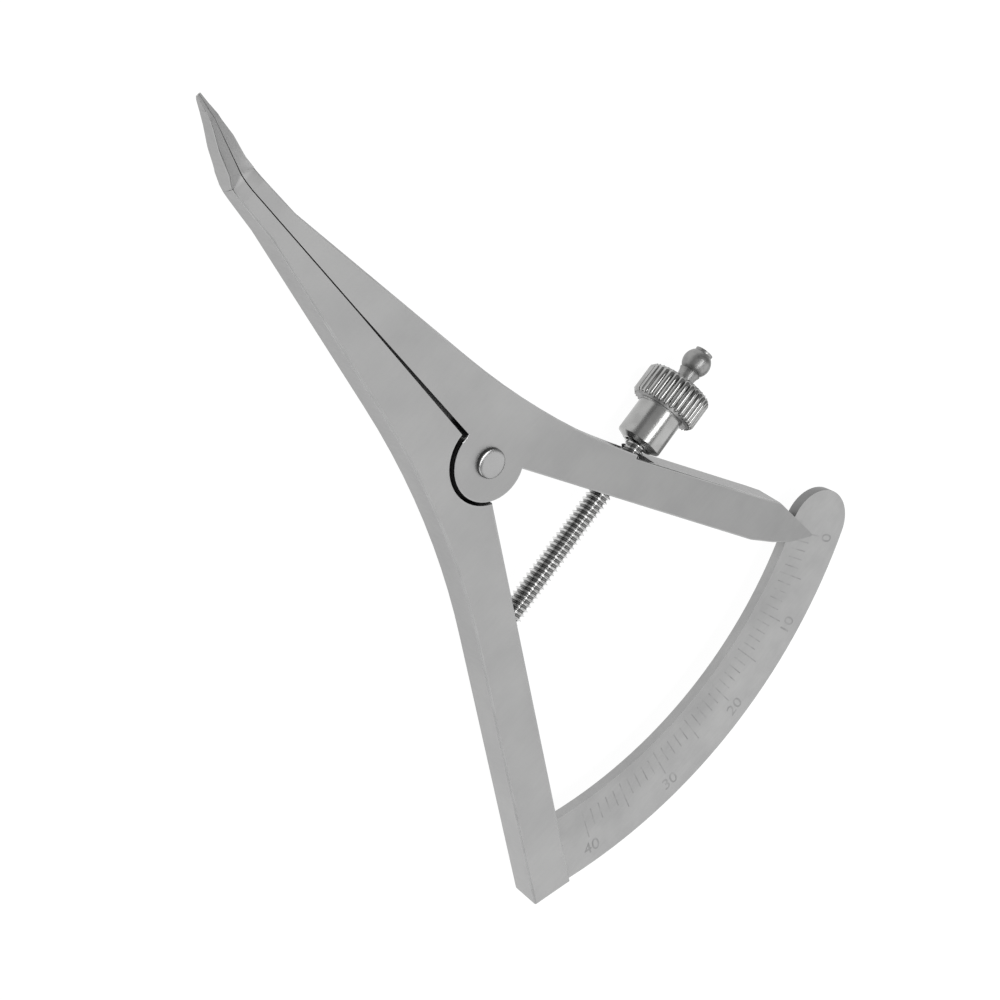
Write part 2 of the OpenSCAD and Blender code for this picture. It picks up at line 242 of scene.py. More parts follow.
# pieces: what each one adds to the scene, and the body that it moves with

def addPiece(name, mesh, body, replaced=()):
    piece = bpy.data.objects.new(name, mesh)
    bpy.context.scene.collection.objects.link(piece)
    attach(piece, body)
    if replaced:
        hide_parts(*replaced)


# an edge that turns by more than this angle stays sharp
smoothAngles = {"arms": 46, "lathe": 35, "thread": 40, "knurl": 50}


def smoothMesh(mesh, degrees):
    mesh.shade_smooth()
    mesh.set_sharp_from_angle(angle=math.radians(degrees))


def evaluated(holder, name):
    # the mesh that an object has with its modifiers; the object itself goes
    graph = bpy.context.evaluated_depsgraph_get()
    mesh = bpy.data.meshes.new_from_object(holder.evaluated_get(graph))
    mesh.name = name
    holder.modifiers.clear()
    bpy.data.objects.remove(holder)
    return mesh


def holderOf(data, name):
    holder = bpy.data.objects.new(name + "Holder", data)
    bpy.context.scene.collection.objects.link(holder)
    return holder


# places on the arms: x is across the slit, y along it, z from the back
arms = {"thickness": 3.7, "lapHeight": 1.85, "hollowWall": (3.9, 4.6), "hingeReach": 8, "lapReach": 0.3,
        "slitWallPaintedShade": (3.5, 21), "slitReach": 0.35, "outerFrom": -46, "tipFrom": 34.5,
        "foldAt": 36, "foldNear": 0.1, "foldOffset": 1.3, "foldSegments": 10,
        "closeFrom": 43, "closeReach": 0.07, "closedTo": 0.012, "slotHeight": (0.5, 3.2), "bluntFrom": 45.5,
        "scaleBreak": 0.2, "pointerBreak": 0.16}
# how the arrises are broken; a share is one of the full bevel
edges = {"merge": 0.002, "flattenAngle": 0.25, "sharpAngle": 28, "slitReach": 0.3, "slitFrom": 4,
         "backHeight": 0.3, "backShare": 0.35, "fadeFrom": 34, "fadeLength": 12, "leastShare": 0.12,
         "segments": 2, "profile": 0.6, "faceWeight": 90}
# limits for the parts of a normal: walls have less than theirs along z, flat faces more
facing = {"wall": 0.3, "hollowWall": 0.2, "rivetWallPaintedShade": 0.4, "flat": 0.9, "tipUp": 0.5, "tipBack": -0.02}


def isWall(normal, tilt=facing["wall"]):
    # true where a face stands upright, or leans by less than the tilt
    return abs(normal.z) < tilt


def inCrevice(place, normal):
    # the faces that slide on each other round the hinge, and the wall of the hollow; they take a near-black
    # finish as painted shade
    flat = Vector((place.x, place.y, 0))
    low, high = arms["hollowWall"]
    lapped = abs(place.z - arms["lapHeight"]) < arms["lapReach"] and abs(normal.z) > facing["flat"]
    wall = isWall(normal, facing["hollowWall"]) and low < flat.length < high and normal.dot(flat) < 0
    return flat.length < arms["hingeReach"] and (lapped or wall)


def faceSlot(place, normal):
    # 0 ground face, 2 crevice in painted shade, 3 front of a tip with painted light, 4 outer wall (with painted
    # shade on the scale arm), 5 wall of the slit beside the hinge in painted shade
    if inCrevice(place, normal):
        return 2
    if place.y > arms["tipFrom"] and normal.y < facing["tipBack"] and normal.z > facing["tipUp"]:
        return 3
    low, high = arms["slitWallPaintedShade"]
    if isWall(normal) and abs(place.x) < arms["slitReach"] and low < place.y < high:
        return 5
    if isWall(normal) and normal.x * place.x > 0 and place.y > arms["outerFrom"]:
        return 4
    return 0


def softenFold(body):
    # rounds the line where the tips start to rise
    near = arms["foldNear"]
    front = arms["thickness"] - near
    fold = [edge for edge in body.edges
            if all(abs(vert.co.y / mm - arms["foldAt"]) < near and vert.co.z / mm > front for vert in edge.verts)]
    if fold:
        bmesh.ops.bevel(body, geom=fold, offset=arms["foldOffset"] * mm, offset_type="OFFSET",
                        segments=arms["foldSegments"], profile=0.5, affect="EDGES", clamp_overlap=False)


def closeTips(body):
    # towards their ends the two tips lie as good as against each other
    for vert in body.verts:
        if vert.co.y / mm > arms["closeFrom"] and abs(vert.co.x) / mm < arms["closeReach"]:
            vert.co.x = math.copysign(arms["closedTo"] * mm, vert.co.x)


def edgeBreak(edge, keepSharp):
    # share of the full bevel that an edge gets: none along the slit, less on the back and towards the tips
    middle = (edge.verts[0].co + edge.verts[1].co) / 2 / mm
    if len(edge.link_faces) != 2 or edge.calc_face_angle(0) < math.radians(edges["sharpAngle"]):
        return 0.0
    if keepSharp(middle) or (abs(middle.x) < edges["slitReach"] and middle.y > edges["slitFrom"]):
        return 0.0
    share = edges["backShare"] if middle.z < edges["backHeight"] else 1.0
    fade = 1 - (middle.y - edges["fadeFrom"]) / edges["fadeLength"]
    return share * min(1.0, max(edges["leastShare"], fade))


def brokenEdges(mesh, width):
    holder = holderOf(mesh, mesh.name)
    modifier = holder.modifiers.new("brokenEdges", "BEVEL")
    modifier.limit_method = "WEIGHT"
    modifier.width = width
    modifier.segments = edges["segments"]
    modifier.profile = edges["profile"]
    modifier.material = 1
    modifier.use_clamp_overlap = False
    return evaluated(holder, mesh.name)


def weightedNormals(mesh, name):
    # large flat faces keep their own normal and the small bevels take the turn
    holder = holderOf(mesh, name)
    modifier = holder.modifiers.new("weight", "WEIGHTED_NORMAL")
    modifier.weight = edges["faceWeight"]
    modifier.keep_sharp = True
    return evaluated(holder, name)


def bevelledCopy(nodeName, pieceName, width, keepSharp, finishes):
    # a merged copy of a CAD node with its long sharp edges broken, the small faces in slot 1
    body = bmesh.new()
    body.from_mesh(nodes[nodeName].data)
    bmesh.ops.remove_doubles(body, verts=body.verts, dist=edges["merge"] * mm)
    bmesh.ops.dissolve_limit(body, angle_limit=math.radians(edges["flattenAngle"]),
                             verts=body.verts, edges=body.edges)
    softenFold(body)
    closeTips(body)
    for face in body.faces:
        face.material_index = faceSlot(face.calc_center_median() / mm, face.normal)
    weights = body.edges.layers.float.new("bevel_weight_edge")
    for edge in body.edges:
        edge[weights] = edgeBreak(edge, keepSharp)
    mesh = bpy.data.meshes.new(pieceName + "Start")
    body.to_mesh(mesh)
    body.free()
    for name in finishes:
        mesh.materials.append(steels[name])
    mesh = brokenEdges(mesh, width * mm)
    for extra in ("custom_normal", "sharp_edge", "sharp_face"):
        if extra in mesh.attributes:
            mesh.attributes.remove(mesh.attributes[extra])
    smoothMesh(mesh, smoothAngles["arms"])
    return weightedNormals(mesh, pieceName)


# what keeps its edges: the arc's two pins, the pin of the rod's eye and the rivet, each with its reach
pinSpots = [(polar(45.03, -119.9), 1.0), (polar(49.37, -119.9), 1.0),
            (Vector((-10.75, -15.79, 0)), 1.2), (Vector((0, 0, 0)), 1.6)]


def nearPins(place):
    return any((Vector((place.x, place.y, 0)) - spot).length < reach for spot, reach in pinSpots)


def armKeepsSharp(place):
    low, high = arms["slotHeight"]
    return nearPins(place) or place.y > arms["bluntFrom"] or low < place.z < high


scaleArmMesh = bevelledCopy("scale_arm", "scaleArm", arms["scaleBreak"], armKeepsSharp,
                            ["scaleArm", "edge", "creviceShade", "tipFrontPaintedLight", "scaleWallPaintedShade", "slitWallPaintedShade"])
addPiece("scaleArm", scaleArmMesh, "scale_side", ["scale_arm"])

pointerArmMesh = bevelledCopy("pointer_arm", "pointerArm", arms["pointerBreak"], armKeepsSharp,
                              ["pointerArm", "edge", "creviceShade", "tipFrontPaintedLight", "pointerArm", "slitWallPaintedShade"])
addPiece("pointerArm", pointerArmMesh, "pointer_side", ["pointer_arm"])

arc = {"break": 0.06, "endTurn": -61.8}
arcMesh = bevelledCopy("scale_arc", "scaleArc", arc["break"], nearPins,
                       ["scaleArc", "edge", "arcEndPaintedShade", "arcWallPaintedShade"])
for face in arcMesh.polygons:
    # the arc's walls get painted shade, less bright than its face and darkest round the free end
    if isWall(face.normal):
        atEnd = math.atan2(face.center.y, face.center.x) > math.radians(arc["endTurn"])
        face.material_index = 2 if atEnd else 3
addPiece("scaleArc", arcMesh, "scale_side", ["scale_arc"])

# the flush pins stay as the CAD has them and take the arm's finish
for pinNode in ("arc_pins", "eye_pin"):
    nodes[pinNode].data.materials.clear()
    nodes[pinNode].data.materials.append(steels["scaleArm"])
print("arms and arc made")


# round pieces are turned along +Z; those of the rod are then laid along it
rod = {"lean": 5.28, "pin": Vector(joints["rod_swing"]["pos_m"])}
rodPlace = (Matrix.Translation(rod["pin"]) @ Matrix.Rotation(math.radians(rod["lean"]), 4, "Z")
            @ Matrix.Rotation(math.radians(90), 4, "Y"))


def latheMesh(name, profile, segments, closed=False):
    # profile is (length along +Z, radius) in millimetres; radius 0 closes an end
    body = bmesh.new()
    rings = []
    for along, radius in profile:
        if radius == 0:
            rings.append([body.verts.new((0, 0, along * mm))])
        else:
            rings.append([body.verts.new(polar(radius * mm, 360 * i / segments, along * mm))
                          for i in range(segments)])
    pairs = list(zip(rings, rings[1:]))
    if closed:
        pairs.append((rings[-1], rings[0]))
    for low, high in pairs:
        for i in range(segments):
            j = (i + 1) % segments
            corners = [low[i % len(low)], low[j % len(low)], high[j % len(high)], high[i % len(high)]]
            corners = list(dict.fromkeys(corners))
            if len(corners) > 2:
                body.faces.new(corners)
    bmesh.ops.recalc_face_normals(body, faces=body.faces)
    mesh = bpy.data.meshes.new(name)
    body.to_mesh(mesh)
    body.free()
    smoothMesh(mesh, smoothAngles["lathe"])
    return mesh


# rivet: a low head, flat on top with a sloping rim, its foot flush with the back
# a rim point is (depth below the top, inset from the head's radius)
rivet = {"headRadius": 1.47, "headHeight": 0.49, "shank": 1.0, "foot": 1.3, "footDepth": 0.6,
         "topRing": 0.5, "wallFrom": 3.6, "segments": 96,
         "rim": [(0.2, 0.02), (0.15, 0.04), (0.105, 0.09), (0.09, 0.12), (0.015, 0.33), (0, 0.43)]}


def rivetProfile(r):
    front = arms["thickness"]
    top = front + r["headHeight"]
    stem = [(0, 0), (0, r["foot"]), (r["footDepth"], r["shank"]), (front, r["shank"]), (front, r["headRadius"])]
    rim = [(top - depth, r["headRadius"] - inset) for depth, inset in r["rim"]]
    return stem + rim + [(top, r["topRing"]), (top, 0)]


rivetMesh = latheMesh("hingeRivet", rivetProfile(rivet), rivet["segments"])
rivetMesh.materials.append(steels["rivet"])
rivetMesh.materials.append(steels["rivetWallPaintedShade"])
# the head's upright wall takes painted shade
for face in rivetMesh.polygons:
    if isWall(face.normal, facing["rivetWallPaintedShade"]) and face.center.z / mm > rivet["wallFrom"]:
        face.material_index = 1
addPiece("hingeRivet", rivetMesh, "scale_side", ["hinge_rivet"])


# node trees: the thread, the knurl and the graduations repeat by rule
# a point nearer to the axis than the first stays there, points nearer than the second become one
onAxis, weldReach = 0.01 * mm, 0.001 * mm


def startTree(name, inputs):
    tree = bpy.data.node_groups.new(name, "GeometryNodeTree")
    tree.interface.new_socket("Geometry", in_out="OUTPUT", socket_type="NodeSocketGeometry")
    for label, kind, value in inputs:
        socket = tree.interface.new_socket(label, in_out="INPUT", socket_type=kind)
        socket.default_value = value
    entry = tree.nodes.new("NodeGroupInput")
    leave = tree.nodes.new("NodeGroupOutput")
    return tree, entry, leave


def mathNode(tree, operation, first, second=None):
    node = tree.nodes.new("ShaderNodeMath")
    node.operation = operation
    for socket, value in zip(node.inputs, (first, second)):
        if value is None:
            continue
        if isinstance(value, (int, float)):
            socket.default_value = value
        else:
            tree.links.new(value, socket)
    return node.outputs[0]


def finishTree(tree, leave, geometry, materialValue):
    realize = tree.nodes.new("GeometryNodeRealizeInstances")
    paint = tree.nodes.new("GeometryNodeSetMaterial")
    paint.inputs["Material"].default_value = materialValue
    tree.links.new(geometry, realize.inputs[0])
    tree.links.new(realize.outputs[0], paint.inputs["Geometry"])
    tree.links.new(paint.outputs[0], leave.inputs[0])


def meshFromTree(name, tree, settings):
    holder = holderOf(bpy.data.meshes.new(name + "Start"), name)
    modifier = holder.modifiers.new("shape", "NODES")
    modifier.node_group = tree
    for item in tree.interface.items_tree:
        if item.in_out == "INPUT" and item.name in settings:
            modifier[item.identifier] = settings[item.name]
    return evaluated(holder, name)


# thread: a cylinder whose skin follows one start of a V thread with a narrow flat root
thread = {"Length": 29.2 * mm, "Radius": 1.225 * mm, "Depth": 0.33 * mm, "Pitch": 0.545 * mm, "Runout": 0.5 * mm,
          "Flank Rise": 2.35, "Rings": 640, "Sides": 28}
threadStart = 1.55


def threadTree():
    tree, entry, leave = startTree("rodThread", [
        ("Length", "NodeSocketFloat", 0.03), ("Radius", "NodeSocketFloat", 0.001),
        ("Depth", "NodeSocketFloat", 0.0003), ("Pitch", "NodeSocketFloat", 0.0005),
        ("Runout", "NodeSocketFloat", 0.0005), ("Flank Rise", "NodeSocketFloat", 2.0),
        ("Rings", "NodeSocketInt", 600), ("Sides", "NodeSocketInt", 24)])
    bar = tree.nodes.new("GeometryNodeMeshCylinder")
    tree.links.new(entry.outputs["Sides"], bar.inputs["Vertices"])
    tree.links.new(entry.outputs["Rings"], bar.inputs["Side Segments"])
    tree.links.new(entry.outputs["Radius"], bar.inputs["Radius"])
    tree.links.new(entry.outputs["Length"], bar.inputs["Depth"])
    place = tree.nodes.new("GeometryNodeInputPosition")
    split = tree.nodes.new("ShaderNodeSeparateXYZ")
    tree.links.new(place.outputs[0], split.inputs[0])
    x, y, z = split.outputs
    turn = mathNode(tree, "DIVIDE", mathNode(tree, "ARCTAN2", y, x), 2 * math.pi)
    phase = mathNode(tree, "SUBTRACT", mathNode(tree, "DIVIDE", z, entry.outputs["Pitch"]), turn)
    wave = mathNode(tree, "PINGPONG", phase, 0.5)
    rise = mathNode(tree, "MULTIPLY", wave, entry.outputs["Flank Rise"])
    groove = mathNode(tree, "MINIMUM", rise, 1.0)
    depth = mathNode(tree, "MULTIPLY", groove, entry.outputs["Depth"])
    half = mathNode(tree, "MULTIPLY", entry.outputs["Length"], 0.5)
    ends = mathNode(tree, "SUBTRACT", half, mathNode(tree, "ABSOLUTE", z))
    fade = mathNode(tree, "MINIMUM", mathNode(tree, "DIVIDE", ends, entry.outputs["Runout"]), 1.0)
    endCut = mathNode(tree, "MULTIPLY", mathNode(tree, "SUBTRACT", 1.0, fade), entry.outputs["Depth"])
    total = mathNode(tree, "MAXIMUM", depth, endCut)
    radius = mathNode(tree, "SUBTRACT", entry.outputs["Radius"], total)
    squares = mathNode(tree, "ADD", mathNode(tree, "MULTIPLY", x, x), mathNode(tree, "MULTIPLY", y, y))
    onSkin = mathNode(tree, "GREATER_THAN", mathNode(tree, "SQRT", squares), onAxis)
    scale = mathNode(tree, "DIVIDE", radius, entry.outputs["Radius"])
    join = tree.nodes.new("ShaderNodeCombineXYZ")
    tree.links.new(mathNode(tree, "MULTIPLY", x, scale), join.inputs[0])
    tree.links.new(mathNode(tree, "MULTIPLY", y, scale), join.inputs[1])
    tree.links.new(z, join.inputs[2])
    move = tree.nodes.new("GeometryNodeSetPosition")
    tree.links.new(onSkin, move.inputs["Selection"])
    tree.links.new(join.outputs[0], move.inputs["Position"])
    keep = tree.nodes.new("GeometryNodeStoreNamedAttribute")
    keep.data_type = "FLOAT"
    keep.domain = "POINT"
    keep.inputs["Name"].default_value = "rootDepth"
    tree.links.new(bar.outputs["Mesh"], keep.inputs["Geometry"])
    tree.links.new(mathNode(tree, "DIVIDE", total, entry.outputs["Depth"]), keep.inputs["Value"])
    tree.links.new(keep.outputs[0], move.inputs["Geometry"])
    finishTree(tree, leave, move.outputs[0], steels["thread"])
    return tree


threadMesh = meshFromTree("rodThread", threadTree(), thread)
threadMesh.transform(rodPlace @ Matrix.Translation((0, 0, threadStart * mm + thread["Length"] / 2)))
smoothMesh(threadMesh, smoothAngles["thread"])
addPiece("rodThread", threadMesh, "rod_side", ["threaded_rod"])

# the rod's eye swivels on its pin in the scale arm
eye = {"bore": 0.66, "radius": 1.49, "half": 1.15, "rim": 0.07, "segments": 48}


def eyeProfile(e):
    half, radius, rim = e["half"], e["radius"], e["rim"]
    return [(-half, e["bore"]), (-half, radius - rim), (rim - half, radius),
            (half - rim, radius), (half, radius - rim), (half, e["bore"])]


eyeMesh = latheMesh("rodEye", eyeProfile(eye), eye["segments"], closed=True)
eyeMesh.transform(Matrix.Translation(rod["pin"]))
eyeMesh.materials.append(steels["bright"])
addPiece("rodEye", eyeMesh, "rod_side")

# the turned end flares into the ball and is peened over it, which leaves a thin lip
shank = {"segments": 40, "profile": [
    (1.0, 0), (1.0, 0.78), (30.4, 0.78), (30.5, 0.94), (31.9, 0.94), (32.2, 0.98), (32.45, 1.06), (32.6, 1.14),
    (32.75, 0.93), (35.0, 0.93), (35.06, 0.95), (35.1, 0.94), (35.12, 0.8), (35.14, 0.3), (35.15, 0)]}
shankMesh = latheMesh("rodShank", shank["profile"], shank["segments"])
shankMesh.transform(rodPlace)
shankMesh.materials.append(steels["ball"])
addPiece("rodShank", shankMesh, "rod_side")

ball = {"centre": 33.72, "radius": 1.45, "bore": 0.94, "steps": 20, "segments": 64}


def ballProfile(b):
    # from one rim of the bore round to the other
    limit = math.degrees(math.asin(b["bore"] / b["radius"]))
    angles = [limit + (180 - 2 * limit) * i / b["steps"] for i in range(b["steps"] + 1)]
    return [(b["centre"] - b["radius"] * math.cos(math.radians(angle)),
             b["radius"] * math.sin(math.radians(angle))) for angle in angles]


ballMesh = latheMesh("stopBall", ballProfile(ball), ball["segments"], closed=True)
ballMesh.transform(rodPlace)
ballMesh.materials.append(steels["ball"])
addPiece("stopBall", ballMesh, "rod_side", ["stop_ball"])

# nut: seat, sleeve, shoulder and the core of the knurled head
nut = {"seat": 23.55, "cone": 0.4, "sleeve": 3.75, "head": 3.5, "bore": 1.29, "seatRadius": 1.7,
       "sleeveRadius": 2.4, "headRadius": 3.53, "rim": 0.06, "fillet": 0.1, "bevel": 0.42, "chamferShare": 0.7,
       "segments": 128, "ridgeDepth": 0.34, "ridges": 32, "ridgeSides": 12, "ridgeEndShare": 0.95}
shoulder = nut["seat"] + nut["cone"] + nut["sleeve"]


def nutProfile(n):
    top = shoulder + n["head"]
    core = n["headRadius"] - n["ridgeDepth"]
    chamfer = n["bevel"] * n["chamferShare"]
    rim, fillet, coneEnd = n["rim"], n["fillet"], n["seat"] + n["cone"]
    return [
        (n["seat"], n["bore"]), (n["seat"], n["seatRadius"] - rim), (n["seat"] + rim, n["seatRadius"]),
        (coneEnd - rim, n["sleeveRadius"] - rim), (coneEnd + rim, n["sleeveRadius"]),
        (shoulder - fillet, n["sleeveRadius"]), (shoulder, n["sleeveRadius"] + fillet),
        (shoulder, core - chamfer), (shoulder + chamfer, core),
        (top - chamfer, core), (top, core - chamfer), (top, n["bore"])]


nutMesh = latheMesh("knurledNut", nutProfile(nut), nut["segments"], closed=True)
nutMesh.transform(rodPlace)
nutMesh.materials.append(steels["bright"])
nutMesh.materials.append(steels["ball"])
alongRod = rodPlace.inverted()
for face in nutMesh.polygons:
    # the head is less bright than the sleeve
    if (alongRod @ face.center).z / mm > shoulder - nut["fillet"] / 2:
        face.material_index = 1
addPiece("knurledNut", nutMesh, "nut", ["knurled_nut"])


def knurlTree():
    # straight ridges round the head: rounded bars with pointed ends
    tree, entry, leave = startTree("headKnurl", [
        ("Ridges", "NodeSocketInt", 32), ("Circle Radius", "NodeSocketFloat", 0.003),
        ("Ridge Radius", "NodeSocketFloat", 0.0003), ("Ridge Length", "NodeSocketFloat", 0.0025),
        ("End Length", "NodeSocketFloat", 0.0004), ("Ridge Sides", "NodeSocketInt", 8)])
    ring = tree.nodes.new("GeometryNodeMeshCircle")
    tree.links.new(entry.outputs["Ridges"], ring.inputs["Vertices"])
    tree.links.new(entry.outputs["Circle Radius"], ring.inputs["Radius"])
    bar = tree.nodes.new("GeometryNodeMeshCylinder")
    bar.fill_type = "NONE"
    tree.links.new(entry.outputs["Ridge Sides"], bar.inputs["Vertices"])
    tree.links.new(entry.outputs["Ridge Radius"], bar.inputs["Radius"])
    tree.links.new(entry.outputs["Ridge Length"], bar.inputs["Depth"])
    join = tree.nodes.new("GeometryNodeJoinGeometry")
    tree.links.new(bar.outputs["Mesh"], join.inputs[0])
    for side in (1, -1):
        end = tree.nodes.new("GeometryNodeMeshCone")
        end.fill_type = "NONE"
        tree.links.new(entry.outputs["Ridge Sides"], end.inputs["Vertices"])
        tree.links.new(entry.outputs["Ridge Radius"], end.inputs["Radius Bottom"])
        end.inputs["Radius Top"].default_value = 0.0
        tree.links.new(entry.outputs["End Length"], end.inputs["Depth"])
        place = tree.nodes.new("GeometryNodeTransform")
        shift = tree.nodes.new("ShaderNodeCombineXYZ")
        half = mathNode(tree, "MULTIPLY", entry.outputs["Ridge Length"], 0.5 * side)
        tree.links.new(half, shift.inputs[2])
        tree.links.new(shift.outputs[0], place.inputs["Translation"])
        place.inputs["Rotation"].default_value = (0 if side > 0 else math.pi, 0, 0)
        tree.links.new(end.outputs["Mesh"], place.inputs["Geometry"])
        tree.links.new(place.outputs[0], join.inputs[0])
    merge = tree.nodes.new("GeometryNodeMergeByDistance")
    tree.links.new(join.outputs[0], merge.inputs["Geometry"])
    merge.inputs["Distance"].default_value = weldReach
    scatter = tree.nodes.new("GeometryNodeInstanceOnPoints")
    tree.links.new(ring.outputs["Mesh"], scatter.inputs["Points"])
    tree.links.new(merge.outputs[0], scatter.inputs["Instance"])
    place = tree.nodes.new("GeometryNodeInputPosition")
    split = tree.nodes.new("ShaderNodeSeparateXYZ")
    tree.links.new(place.outputs[0], split.inputs[0])
    spin = tree.nodes.new("ShaderNodeCombineXYZ")
    tree.links.new(mathNode(tree, "ARCTAN2", split.outputs[1], split.outputs[0]), spin.inputs[2])
    tree.links.new(spin.outputs[0], scatter.inputs["Rotation"])
    finishTree(tree, leave, scatter.outputs[0], steels["knurl"])
    return tree


knurlMesh = meshFromTree("headKnurl", knurlTree(), {
    "Ridges": nut["ridges"], "Circle Radius": (nut["headRadius"] - nut["ridgeDepth"]) * mm,
    "Ridge Radius": nut["ridgeDepth"] * mm, "Ridge Length": (nut["head"] - 2 * nut["bevel"]) * mm,
    "End Length": nut["bevel"] * nut["ridgeEndShare"] * mm, "Ridge Sides": nut["ridgeSides"]})
knurlMesh.transform(rodPlace @ Matrix.Translation((0, 0, (shoulder + nut["head"] / 2) * mm)))
smoothMesh(knurlMesh, smoothAngles["knurl"])
addPiece("headKnurl", knurlMesh, "nut")
print("rod, ball and nut made")


# graduations: one mark for each millimetre of opening between the tips, a long one at every fifth
scale = {"jawLength": 46.4, "zeroTurn": -61.6, "marks": 40, "longEvery": 5, "numeralEvery": 10,
         "shortRadii": (44.5, 46.7), "longRadii": (44.2, 47.9), "width": 0.13, "depth": 0.02,
         "top": 2.45, "proud": 0.006, "numeralRadius": 49.3, "numeralSize": 2.1}
markLevel = (scale["top"] + scale["proud"] - scale["depth"] / 2) * mm


def markTree():
    # a mark at each step where the remainder of its number by Skip is more than Least Left
    tree, entry, leave = startTree("scaleMarks", [
        ("Marks", "NodeSocketInt", 41), ("Step", "NodeSocketInt", 1), ("Skip", "NodeSocketInt", 5),
        ("Least Left", "NodeSocketFloat", 0.5),
        ("Jaw Length", "NodeSocketFloat", 0.0465), ("Zero Turn", "NodeSocketFloat", 0.0),
        ("Middle Radius", "NodeSocketFloat", 0.0456), ("Mark Length", "NodeSocketFloat", 0.002),
        ("Mark Width", "NodeSocketFloat", 0.00012), ("Mark Height", "NodeSocketFloat", 0.00002)])
    row = tree.nodes.new("GeometryNodePoints")
    tree.links.new(entry.outputs["Marks"], row.inputs["Count"])
    index = tree.nodes.new("GeometryNodeInputIndex")
    opening = mathNode(tree, "MULTIPLY", mathNode(tree, "MULTIPLY", index.outputs[0], entry.outputs["Step"]), mm)
    halfTurn = mathNode(tree, "ARCSINE", mathNode(
        tree, "DIVIDE", opening, mathNode(tree, "MULTIPLY", entry.outputs["Jaw Length"], 2.0)))
    turn = mathNode(tree, "SUBTRACT", entry.outputs["Zero Turn"], mathNode(tree, "MULTIPLY", halfTurn, 2.0))
    spot = tree.nodes.new("ShaderNodeCombineXYZ")
    for place, wave in enumerate(("COSINE", "SINE")):
        side = mathNode(tree, "MULTIPLY", mathNode(tree, wave, turn), entry.outputs["Middle Radius"])
        tree.links.new(side, spot.inputs[place])
    move = tree.nodes.new("GeometryNodeSetPosition")
    tree.links.new(row.outputs[0], move.inputs["Geometry"])
    tree.links.new(spot.outputs[0], move.inputs["Position"])
    bar = tree.nodes.new("GeometryNodeMeshCube")
    size = tree.nodes.new("ShaderNodeCombineXYZ")
    for place, label in enumerate(("Mark Length", "Mark Width", "Mark Height")):
        tree.links.new(entry.outputs[label], size.inputs[place])
    tree.links.new(size.outputs[0], bar.inputs["Size"])
    spin = tree.nodes.new("ShaderNodeCombineXYZ")
    tree.links.new(turn, spin.inputs[2])
    left = mathNode(tree, "MODULO", index.outputs[0], entry.outputs["Skip"])
    wanted = mathNode(tree, "GREATER_THAN", left, entry.outputs["Least Left"])
    scatter = tree.nodes.new("GeometryNodeInstanceOnPoints")
    tree.links.new(move.outputs[0], scatter.inputs["Points"])
    tree.links.new(bar.outputs["Mesh"], scatter.inputs["Instance"])
    tree.links.new(spin.outputs[0], scatter.inputs["Rotation"])
    tree.links.new(wanted, scatter.inputs["Selection"])
    finishTree(tree, leave, scatter.outputs[0], steels["engraved"])
    return tree


def markMesh(name, step, leastLeft, radii):
    inner, outer = radii
    mesh = meshFromTree(name, markTree(), {
        "Marks": scale["marks"] // step + 1, "Step": step, "Skip": scale["longEvery"], "Least Left": leastLeft,
        "Jaw Length": scale["jawLength"] * mm, "Zero Turn": math.radians(scale["zeroTurn"]),
        "Middle Radius": (inner + outer) / 2 * mm, "Mark Length": (outer - inner) * mm,
        "Mark Width": scale["width"] * mm, "Mark Height": scale["depth"] * mm})
    mesh.transform(Matrix.Translation((0, 0, markLevel)))
    return mesh


# the short marks leave out every fifth place, where the remainder is 0; the long ones leave out none
shortMarks = markMesh("shortMarks", 1, 0.5, scale["shortRadii"])
addPiece("shortMarks", shortMarks, "scale_side")
longMarks = markMesh("longMarks", scale["longEvery"], -0.5, scale["longRadii"])
addPiece("longMarks", longMarks, "scale_side")


def numeralMesh(text, turn):
    curve = bpy.data.curves.new("numeral", "FONT")
    curve.body = text
    curve.size = scale["numeralSize"] * mm
    curve.align_x = "CENTER"
    curve.align_y = "CENTER"
    curve.extrude = scale["depth"] / 2 * mm
    mesh = evaluated(holderOf(curve, "numeral"), "numeral")
    spot = polar(scale["numeralRadius"] * mm, turn, markLevel)
    mesh.transform(Matrix.Translation(spot) @ Matrix.Rotation(math.radians(turn + 90), 4, "Z"))
    return mesh


def numeralsMesh():
    body = bmesh.new()
    for value in range(0, scale["marks"] + 1, scale["numeralEvery"]):
        turn = scale["zeroTurn"] - 2 * math.degrees(math.asin(value / 2 / scale["jawLength"]))
        body.from_mesh(numeralMesh(str(value), turn))
    mesh = bpy.data.meshes.new("numerals")
    body.to_mesh(mesh)
    body.free()
    mesh.materials.append(steels["engraved"])
    return mesh


addPiece("numerals", numeralsMesh(), "scale_side")
print("graduations made")


# studio, in metres: a glowing floor just under the object, four soft lights and the camera
studio = {"floorLevel": cadBox[0][2] - 0.01 * mm, "floorSize": 1.6, "floorGlow": 0.96, "floorTone": 0.08,
          "floorRoughness": 0.9, "floorGloss": 0.1, "world": 0.25}
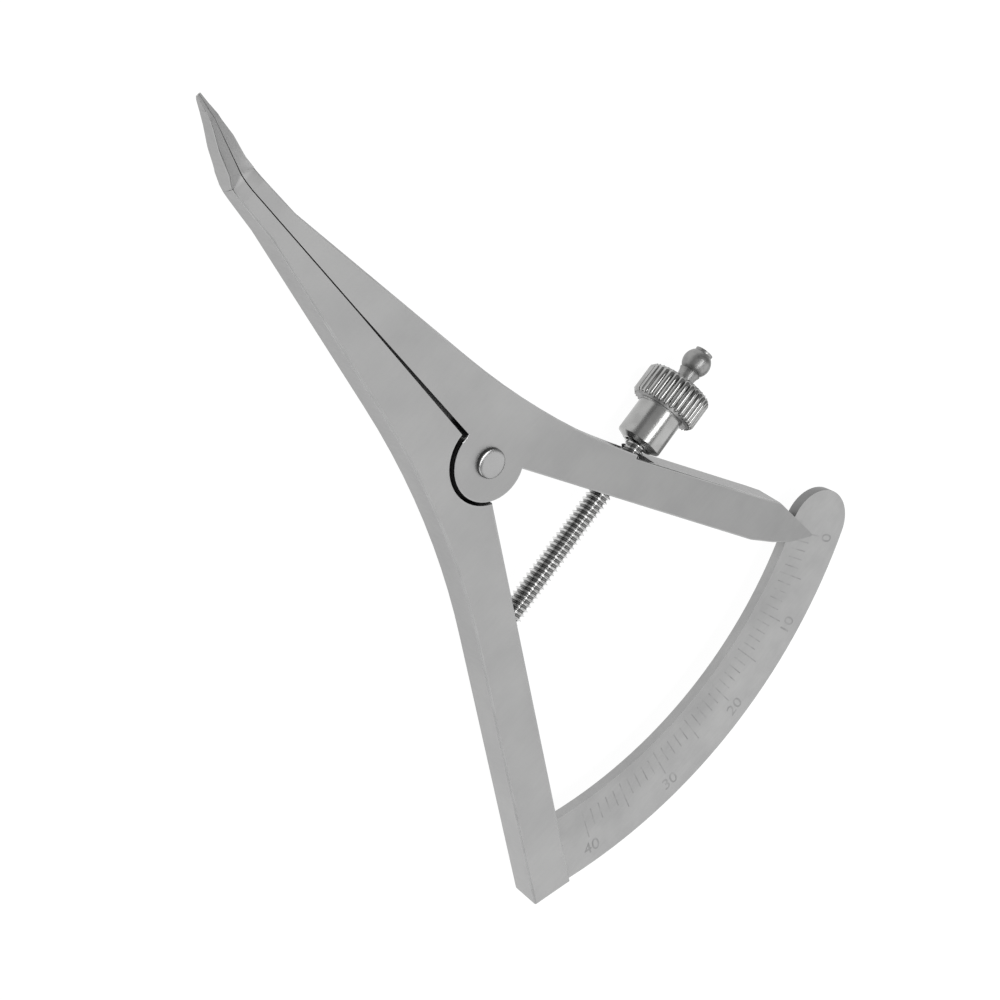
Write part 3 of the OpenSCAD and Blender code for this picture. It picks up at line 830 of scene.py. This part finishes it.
# one soft box faces the camera across the object, a strip hangs overhead, a small one catches the arms' edges
lamps = [
    {"name": "acrossSoft", "place": (0.10, -0.47, 0.45), "size": (0.80, 0.80), "radiance": 0.92},
    {"name": "overheadStrip", "place": (0.0, 0.10, 0.65), "size": (1.00, 0.16), "radiance": 5.5},
    {"name": "backSoft", "place": (-0.10, 0.38, 0.47), "size": (0.60, 0.60), "radiance": 0.25},
    {"name": "edgeCatch", "place": (-0.62, -0.143, 0.30), "size": (0.50, 0.50), "radiance": 1.55},
]
view = {"lens": 57.6, "sensor": 36, "clip": (0.01, 10), "place": (-0.025759, 0.087507, 0.116738),
        "turn": (-22.2863, -33.9383, -38.8892)}


def makeFloor():
    mesh = bpy.data.meshes.new("floor")
    half, level = studio["floorSize"] / 2, studio["floorLevel"]
    corners = [(-half, -half, level), (half, -half, level), (half, half, level), (-half, half, level)]
    mesh.from_pydata(corners, [], [(0, 1, 2, 3)])
    material, tree, links = startMaterial("floorPaper")
    shader = tree["Principled BSDF"]
    shader.inputs["Base Color"].default_value = grey(studio["floorTone"])
    shader.inputs["Roughness"].default_value = studio["floorRoughness"]
    shader.inputs["Specular IOR Level"].default_value = studio["floorGloss"]
    shader.inputs["Emission Color"].default_value = grey(1)
    shader.inputs["Emission Strength"].default_value = studio["floorGlow"]
    mesh.materials.append(material)
    floor = bpy.data.objects.new("floor", mesh)
    bpy.context.scene.collection.objects.link(floor)


def softLight(lamp):
    # faces the hinge; its power follows from its size and the brightness of its face
    width, height = lamp["size"]
    data = bpy.data.lights.new(lamp["name"], "AREA")
    data.shape = "RECTANGLE"
    data.size, data.size_y = width, height
    data.energy = lamp["radiance"] * math.pi * width * height
    light = bpy.data.objects.new(lamp["name"], data)
    light.location = lamp["place"]
    light.rotation_mode = "QUATERNION"
    light.rotation_quaternion = (-Vector(lamp["place"])).to_track_quat("-Z", "Y")
    bpy.context.scene.collection.objects.link(light)


makeFloor()
for lamp in lamps:
    softLight(lamp)

world = bpy.data.worlds.new("studio")
world.use_nodes = True
world.node_tree.nodes["Background"].inputs["Color"].default_value = grey(1)
world.node_tree.nodes["Background"].inputs["Strength"].default_value = studio["world"]
bpy.context.scene.world = world
bpy.context.scene.view_settings.view_transform = "Standard"

camera = bpy.data.objects.new("camera", bpy.data.cameras.new("camera"))
camera.data.lens = view["lens"]
camera.data.sensor_width = view["sensor"]
camera.data.clip_start, camera.data.clip_end = view["clip"]
camera.location = view["place"]
camera.rotation_euler = [math.radians(angle) for angle in view["turn"]]
bpy.context.scene.collection.objects.link(camera)
bpy.context.scene.camera = camera
print("studio made")
